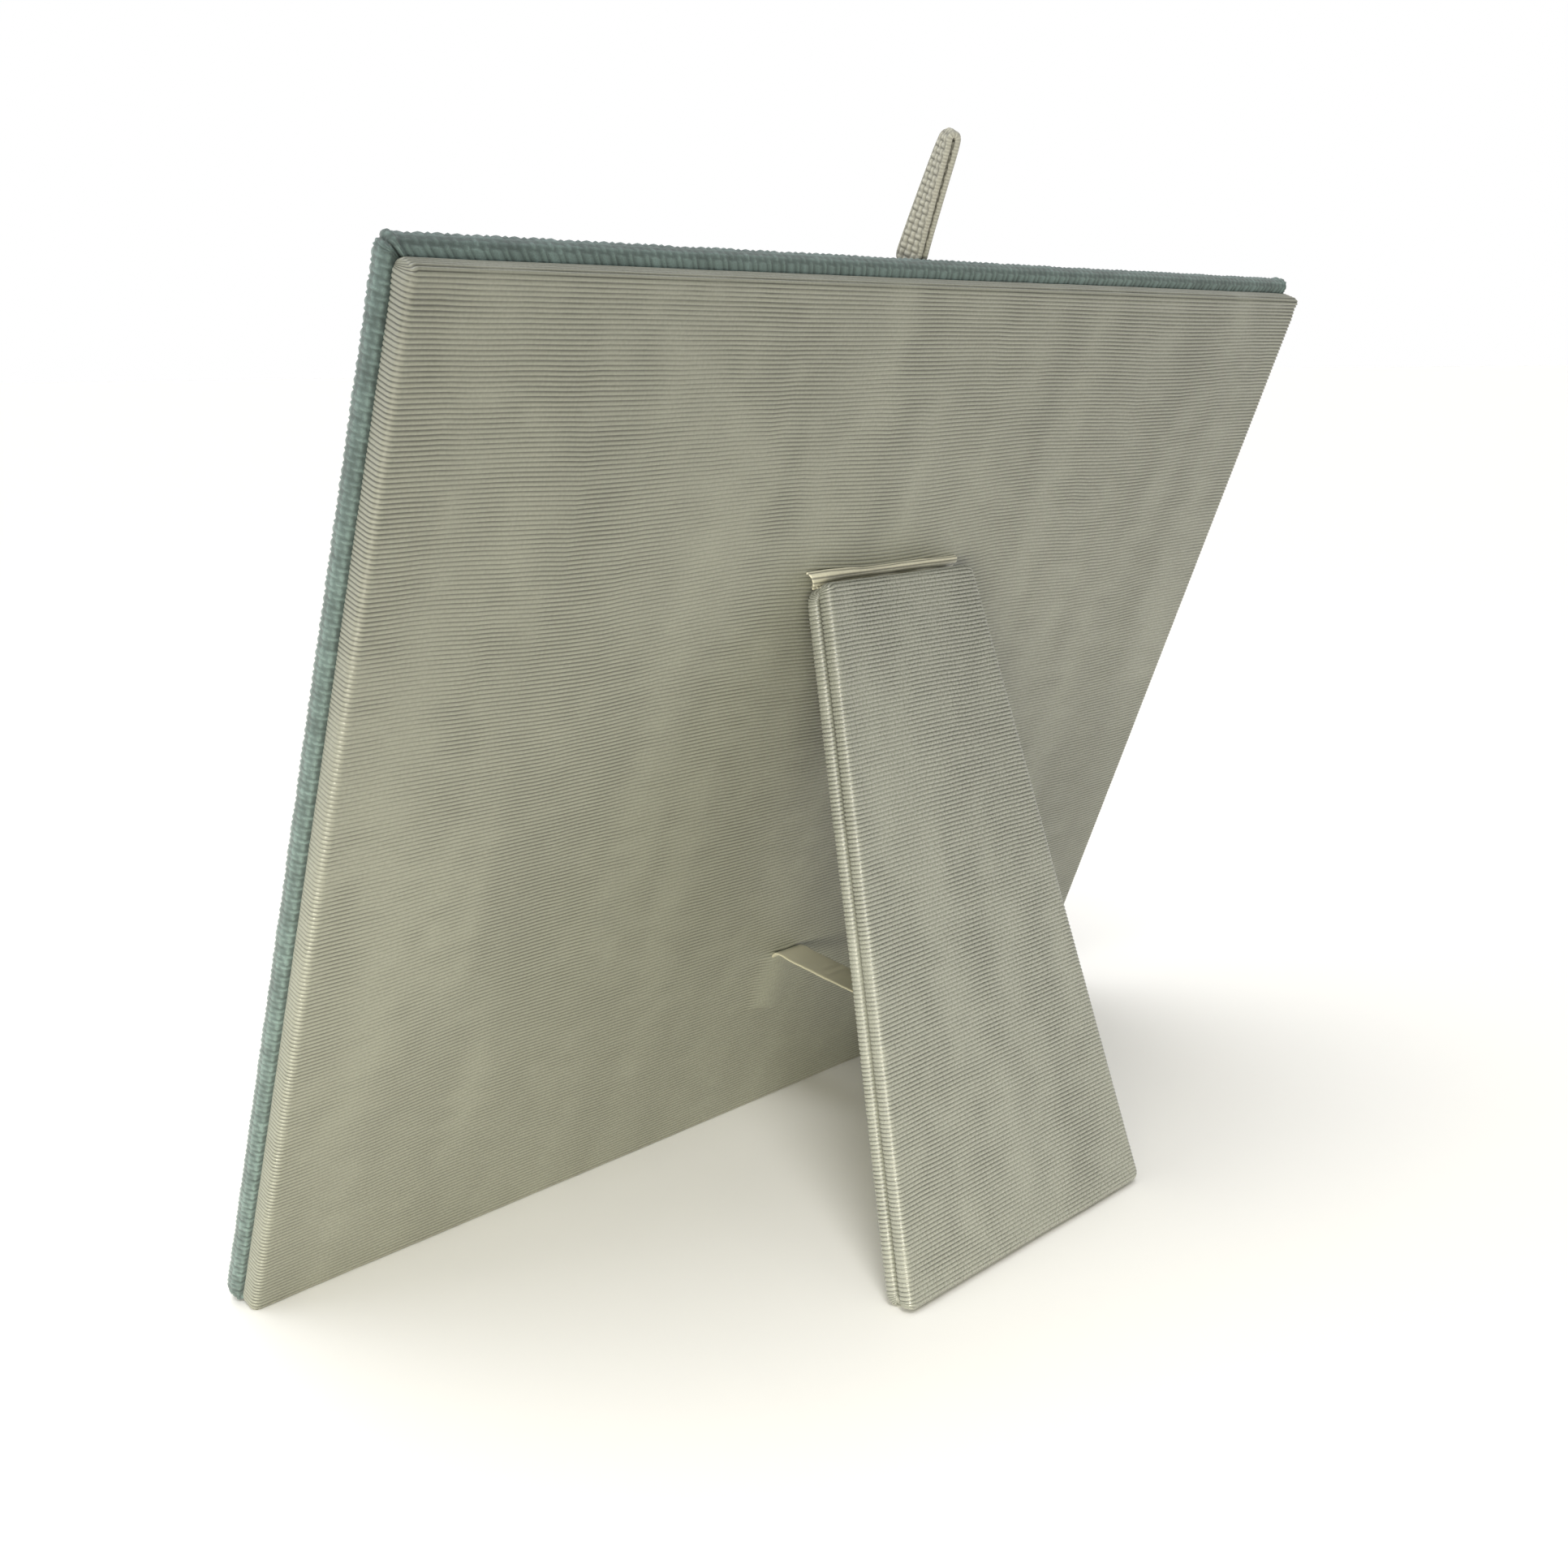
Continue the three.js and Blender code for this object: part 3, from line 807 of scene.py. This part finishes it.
def leg_half(node):
    """Half the leg's width at a height, from where its corners run into its straight sides."""
    points = LEG.points(node)
    middle = (points[:, 2].min() + points[:, 2].max()) / 2
    upper = points[points[:, 2] > middle]
    lower = points[points[:, 2] < middle]
    top = upper[np.argmax(upper[:, 0])]
    foot = lower[np.argmax(lower[:, 0])]
    slope = (top[0] - foot[0]) / (top[2] - foot[2])
    return lambda z: foot[0] + slope * (z - foot[2])


def leg_cover(node, name, size, face, seed):
    """The ribbed cloth of one leg board. face is 1 where it looks away from the liner, else -1."""
    low, high = LEG.box(node)
    wrap = Wrap(high[1] - low[1], **size)
    rows, spacing = rib_rows(low[2], high[2], wrap)
    cover = Cover(leg_half(node), low[2], high[2], wrap, 31, rows, None, spacing)
    height = rib_height(cover, spacing, seed)
    height += 0.08 * MM * noise(cover.s, cover.t, 18 * MM, 30 * MM, seed + 5)
    cover.raise_by(height * (cover.way < wrap.seen))
    cover.slide(rib_sway(cover, 0.5 * MM, seed + 7))
    piece = cover.build(name, LEG, high[1] if face > 0 else low[1], face, LEG_MOIRE)
    return dress([node], "leg", piece)


def chaikin(points, rounds=3):
    """The line through the points, with its corners cut round."""
    points = np.asarray(points, float)
    for _ in range(rounds):
        first = 0.75 * points[:-1] + 0.25 * points[1:]
        second = 0.25 * points[:-1] + 0.75 * points[1:]
        inner = np.stack([first, second], axis=1).reshape(-1, points.shape[1])
        points = np.concatenate([points[:1], inner[1:-1], points[-1:]])
    return points


def evenly(points, spacing):
    """Points along a line at about that spacing, the way along to each, and the line's normals."""
    along = np.concatenate([[0], np.cumsum(np.linalg.norm(np.diff(points, axis=0), axis=1))])
    way = np.linspace(0, along[-1], round(along[-1] / spacing) + 1)
    line = np.stack([np.interp(way, along, points[:, k]) for k in (0, 1)], axis=1)
    ahead = np.gradient(line, axis=0)
    ahead /= np.linalg.norm(ahead, axis=1)[:, None]
    return line, way, np.stack([-ahead[:, 1], ahead[:, 0]], axis=1)


def strip_section(width, thick, spacing):
    """Points round a flat strip: the place across it, and the height off its middle."""
    half = (width - thick) / 2
    across = np.linspace(-half, half, round(2 * half / spacing) + 1)
    bend = np.linspace(0, math.pi, 7)[1:-1]
    side = half + thick / 2 * np.sin(bend)
    x = np.concatenate([across, side, across[::-1], -side])
    height = thick / 2 * np.concatenate([0 * across + 1, np.cos(bend), 0 * across - 1, -np.cos(bend)])
    return x, height


def tube(name, rings, cloth, hollow, material):
    """A closed tube through rings of points, with a flat cap on each end."""
    count, around = rings.shape[:2]
    index = np.arange(count * around).reshape(count, around)
    ahead = np.roll(index, -1, axis=1)
    faces = np.stack([index[:-1], index[1:], ahead[1:], ahead[:-1]], axis=-1).reshape(-1, 4)
    faces = [*faces, index[0], index[-1][::-1]]
    made = make_mesh(name, rings.reshape(-1, 3), faces, cloth.reshape(-1, 2), hollow, material)
    work = bmesh.new()
    work.from_mesh(made.data)
    bmesh.ops.recalc_face_normals(work, faces=work.faces)
    work.to_mesh(made.data)
    work.free()
    return made


def strip(name, line, width, thick, middle, material, wrinkle, ribs, seed):
    """A flat strip of cloth along a line of (y, z) points in the frame's own axes."""
    line, way, normals = evenly(line, RIB["pitch"] / len(RIB_SHAPE))
    widest = max(width)
    x, height = strip_section(widest, thick, 0.5 * MM)
    width = np.interp(way, np.linspace(0, way[-1], len(width)), width)
    across = x[None, :] * (width / widest)[:, None]
    along = way[:, None] + 0 * across
    crumple = wrinkle * noise(across, along, 5 * MM, 1.2 * MM, seed)
    wave = np.resize(RIB_SHAPE, len(way))[:, None] + 0 * across
    off = height[None, :] + crumple + ribs * (wave - 0.5) * np.sign(height)[None, :]
    points = np.stack([
        middle + across,
        line[:, 0, None] + normals[:, 0, None] * off,
        line[:, 1, None] + normals[:, 1, None] * off,
    ], axis=-1)
    # hollow marks the ribs' troughs, where the hinge's moiré paints shade; the ribbon has no ribs.
    hollow = (1 - wave) * (ribs > 0)
    made = tube(name, FRAME.world(points), np.stack([across, along], axis=-1), hollow, material)
    return made, (widest, way[-1])


def hinge_cloth():
    """One strip, glued to the liner above the leg, bent at the hinge and glued between the boards."""
    low, high = FRAME.box("hinge_cloth_flange")
    leaf_low, leaf_high = LEG.box("hinge_cloth_leaf")
    thick = high[1] - low[1]
    depth = (low[1] + high[1]) / 2
    lap = leaf_high[2] - thick / 2
    inner = leaf_high[1] - thick / 2

    def on_leg(y, z):
        return FRAME.local(LEG.world((0, y, z)))[1:]

    turn = on_leg(leaf_low[1], lap)
    rise = high[2] - low[2]
    bulge = 1.1 * MM  # the cloth stands off the liner before it dips behind the leg's top
    corners = [
        (depth, high[2]),
        (depth + 0.8 * bulge, high[2] - 0.1 * rise),
        (depth + bulge, low[2] + 0.3 * rise),
        (depth + 0.3 * bulge, low[2] - 0.3 * rise),
        turn,
        on_leg(inner, lap),
        on_leg(inner, leaf_low[2]),
    ]
    middle = (low[0] + high[0]) / 2
    broad = high[0] - low[0] + 2 * MM
    narrow = leaf_high[0] - leaf_low[0]
    piece, flat = strip(
        "hinge_cloth",
        chaikin(corners),
        [broad, *[narrow] * 5],
        thick,
        middle,
        HINGE_LIT_MOIRE,
        0.35 * MM,
        0.12 * MM,
        91,
    )
    start = FRAME.world((middle, depth, low[2]))
    FRAME.world((middle, *turn))
    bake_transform(piece)
    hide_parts("hinge_cloth_flange", "hinge_cloth_leaf")


def stay_ribbon():
    """The taut ribbon, from its slit in the liner's cloth to the one in the leg's."""
    low, high = FRAME.box("stay_ribbon")
    thick = 0.4 * MM
    sag = 0.6 * MM
    span = FRAME.points("stay_ribbon")
    root = span[span[:, 1] < low[1] + thick].mean(axis=0)[1:]
    tip = span[span[:, 1] > high[1] - thick].mean(axis=0)[1:]
    ahead = (tip - root) / np.linalg.norm(tip - root)
    share = np.linspace(0.08, 1, 24)[:, None]
    line = root + (tip + ahead * MM - root) * share
    line[:, 1] -= sag * np.sin(math.pi * share[:, 0])
    lip = np.array([(-0.35 * MM, -2.6 * MM), (-0.2 * MM, -0.4 * MM), (0.9 * MM, 0.45 * MM)])
    line = np.concatenate([root + lip, line])
    middle = (low[0] + high[0]) / 2
    width = high[0] - low[0]
    piece = strip(
        "stay_ribbon_cloth", chaikin(line), [width, width], thick, middle, RIBBON, 0.05 * MM, 0, 93
    )[0]
    dress(["stay_ribbon"], "frame", piece)
    off_liner = FRAME.world((0, 0.2 * MM, low[2]))
    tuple(FRAME.axes[1])
    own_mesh(piece)


def pull_tab():
    """A doubled loop of woven tape: flat in the insert's notch, then edge-on above the backing."""
    low, high = FRAME.box("pull_tab")
    backing_low, backing_high = FRAME.box("backing_cover")
    insert_low, insert_high = FRAME.box("insert_board")
    brim = backing_high[2]
    front = backing_low[1]
    top = insert_high[2]
    back = insert_high[1]
    front_in = insert_low[1]
    middle = (low[0] + high[0]) / 2
    away = (TAPE["thick"] + TAPE["gap"]) / 2
    tip = high[2] - TAPE["thick"] / 2 - away
    arc = np.linspace(0, math.pi, 9)
    line = [(away, low[2]), *zip(away * np.cos(arc), tip + away * np.sin(arc)), (-away, low[2])]
    line, way, normals = evenly(np.array(line), TAPE_THREAD["along"] / 6)
    across, height = strip_section(TAPE["width"], TAPE["thick"], TAPE_THREAD["across"] / 6)
    wide = np.abs(height) > 0.49 * TAPE["thick"]
    place = [across[None, :] / TAPE_THREAD["across"], way[:, None] / TAPE_THREAD["along"]]
    bumps = np.where(wide[None, :], woven(place), 0.7 + 0.3 * np.cos(4 * math.pi * place[1]))
    lift = TAPE["height"] * (bumps - 0.6) * np.sign(height)[None, :] * wide[None, :]
    off_line = height[None, :] + lift
    x = line[:, 0, None] + normals[:, 0, None] * off_line
    z = line[:, 1, None] + normals[:, 1, None] * off_line
    risen = np.clip((z - brim) / (high[2] - brim), 0, 1)
    rounding = np.clip((z - high[2]) / TAPE["width"] + 1, 0, 1)
    y = across[None, :] * (1 - 0.2 * risen) * np.sqrt(1 - 0.7 * rounding ** 3)
    out = smooth((z - top) / (brim - top))
    x = x * (0.5 + 0.5 * out)  # pressed to half its thickness inside the notch
    flat_turn = math.radians(90)
    tip_turn = math.radians(28)
    turn = flat_turn * (1 - out) + tip_turn * risen
    extent = (TAPE["width"] * np.abs(np.cos(turn)) + 2 * TAPE["thick"] * np.abs(np.sin(turn))) / 2
    flat_in = (back + front_in) / 2
    clear = front - extent - 0.2 * MM
    lean = 0.7 * risen
    centre = np.where(z < top, flat_in, clear + (flat_in - clear) * lean)
    points = np.stack([
        middle + np.cos(turn) * x + np.sin(turn) * y,
        centre - np.sin(turn) * x + np.cos(turn) * y,
        z,
    ], axis=-1)
    cloth = np.stack([y, way[:, None] + 0 * y], axis=-1)
    # The hollow given here marks the gaps between the weave's bumps, where the tape paints shade.
    piece = tube("pull_tab_tape", FRAME.world(points), cloth, np.clip(1.1 - bumps, 0, 1), TAPE_CLOTH)
    dress(["pull_tab"], "insert", piece)


def world_look():
    """A white studio that lights the stand mostly from its front, so its back is in softer light."""
    scene = bpy.context.scene
    scene.view_settings.view_transform = "Standard"
    world = bpy.data.worlds.new("studio")
    world.use_nodes = True
    nodes = world.node_tree.nodes
    links = world.node_tree.links
    nodes["Background"].inputs["Color"].default_value = (1, 1, 1, 1)
    behind = nodes.new("ShaderNodeVectorMath")
    behind.operation = "DOT_PRODUCT"
    behind.inputs[1].default_value = (0, -1, 0)
    links.new(nodes.new("ShaderNodeTexCoord").outputs["Generated"], behind.inputs[0])
    level = nodes.new("ShaderNodeMapRange")
    level.interpolation_type = "SMOOTHSTEP"
    for socket, number in zip(("From Min", "From Max", "To Min", "To Max"), (-0.25, 0.3, 0.18, 1.0)):
        level.inputs[socket].default_value = number
    links.new(behind.outputs["Value"], level.inputs["Value"])
    seen = nodes.new("ShaderNodeMath")
    seen.operation = "MAXIMUM"
    links.new(level.outputs["Result"], seen.inputs[0])
    links.new(nodes.new("ShaderNodeLightPath").outputs["Is Camera Ray"], seen.inputs[1])
    links.new(seen.outputs["Value"], nodes["Background"].inputs["Strength"])
    scene.world = world


def sun(name, toward, strength, spread):
    """Broad soft light from the way it lies toward."""
    light = bpy.data.lights.new(name, "SUN")
    light.energy = strength
    light.angle = math.radians(spread)
    lamp = bpy.data.objects.new(name, light)
    lamp.rotation_euler = Vector(toward).to_track_quat("Z", "Y").to_euler()
    bpy.context.scene.collection.objects.link(lamp)


def softbox(name, place, target, size, power, spread=180, colour=(1, 1, 1)):
    """A rectangular lamp that the camera doesn't see."""
    light = bpy.data.lights.new(name, "AREA")
    light.color = colour
    light.spread = math.radians(spread)
    light.shape = "RECTANGLE"
    light.size, light.size_y = size
    light.energy = power
    lamp = bpy.data.objects.new(name, light)
    lamp.location = place
    lamp.rotation_euler = (Vector(target) - Vector(place)).to_track_quat("-Z", "Y").to_euler()
    lamp.visible_camera = False
    bpy.context.scene.collection.objects.link(lamp)


def floor():
    """A pale floor that runs past the horizon."""
    size = 40
    ring = [(-size, -size, 0), (size, -size, 0), (size, size, 0), (-size, size, 0)]
    mesh = bpy.data.meshes.new("floor")
    mesh.from_pydata(ring, [], [range(4)])
    mesh.materials.append(shader("floor", (0.92, 0.91, 0.88), 0.9)[0])
    made = bpy.data.objects.new("floor", mesh)
    bpy.context.scene.collection.objects.link(made)


def camera():
    """The camera stands behind the stand, to one side and a little above its middle."""
    place = Vector((0.2349, 0.2132, 0.1514))
    azimuth = math.radians(134.3)
    elevation = math.radians(13.34)
    roll = math.radians(-0.66)
    back = Vector((
        math.sin(azimuth) * math.cos(elevation),
        -math.cos(azimuth) * math.cos(elevation),
        math.sin(elevation),
    ))
    lens = bpy.data.cameras.new("camera")
    lens.lens = 40.34
    lens.sensor_width = 36
    lens.clip_start = 0.01
    made = bpy.data.objects.new("camera", lens)
    turn = back.to_track_quat("Z", "Y").to_matrix() @ Matrix.Rotation(roll, 3, "Z")
    made.matrix_world = Matrix.Translation(place) @ turn.to_4x4()
    bpy.context.scene.collection.objects.link(made)
    bpy.context.scene.camera = made


def cad_materials():
    """The CAD pieces that show as they are get their materials."""
    for material, nodes in (
        (GREYBOARD, ("liner_board", "backing_board", "mat_board", "insert_board")),
        (GREYBOARD, ("pocket_spacer_left", "pocket_spacer_right", "pocket_spacer_bottom")),
        (GREYBOARD, ("leg_inner_board", "leg_outer_board")),
        (PANE, ("window_pane",)),
        (PICTURE, ("photo_print",)),
        (RIBBON, ("stay_leg_end", "stay_liner_end")),
    ):
        for node in nodes:
            mesh = frame["nodes"][node].data
            mesh.materials.clear()
            mesh.materials.append(material)


camera()
world_look()
sun("overhead", (0.1, -0.05, 1), 0.8, 40)
sun("rake", (0.45, 0.5, 1), 1.15, 18)
softbox("side", (0.95, -0.2, 0.55), (0, 0, 0.08), (0.4, 0.7), 1.2)
softbox("low", (0.36, 0.3, 0.06), (0.02, 0, 0), (0.35, 0.08), 0.36, 60, (1, 0.95, 0.78))
floor()
mat_cover()
liner_cover()
backing_cover()
leg_cover("leg_inner_cover", "leg_inner_cloth", INNER_LEG, -1, 61)
leg_cover("leg_outer_cover", "leg_outer_cloth", OUTER_LEG, 1, 81)
hinge_cloth()
stay_ribbon()
pull_tab()
cad_materials()
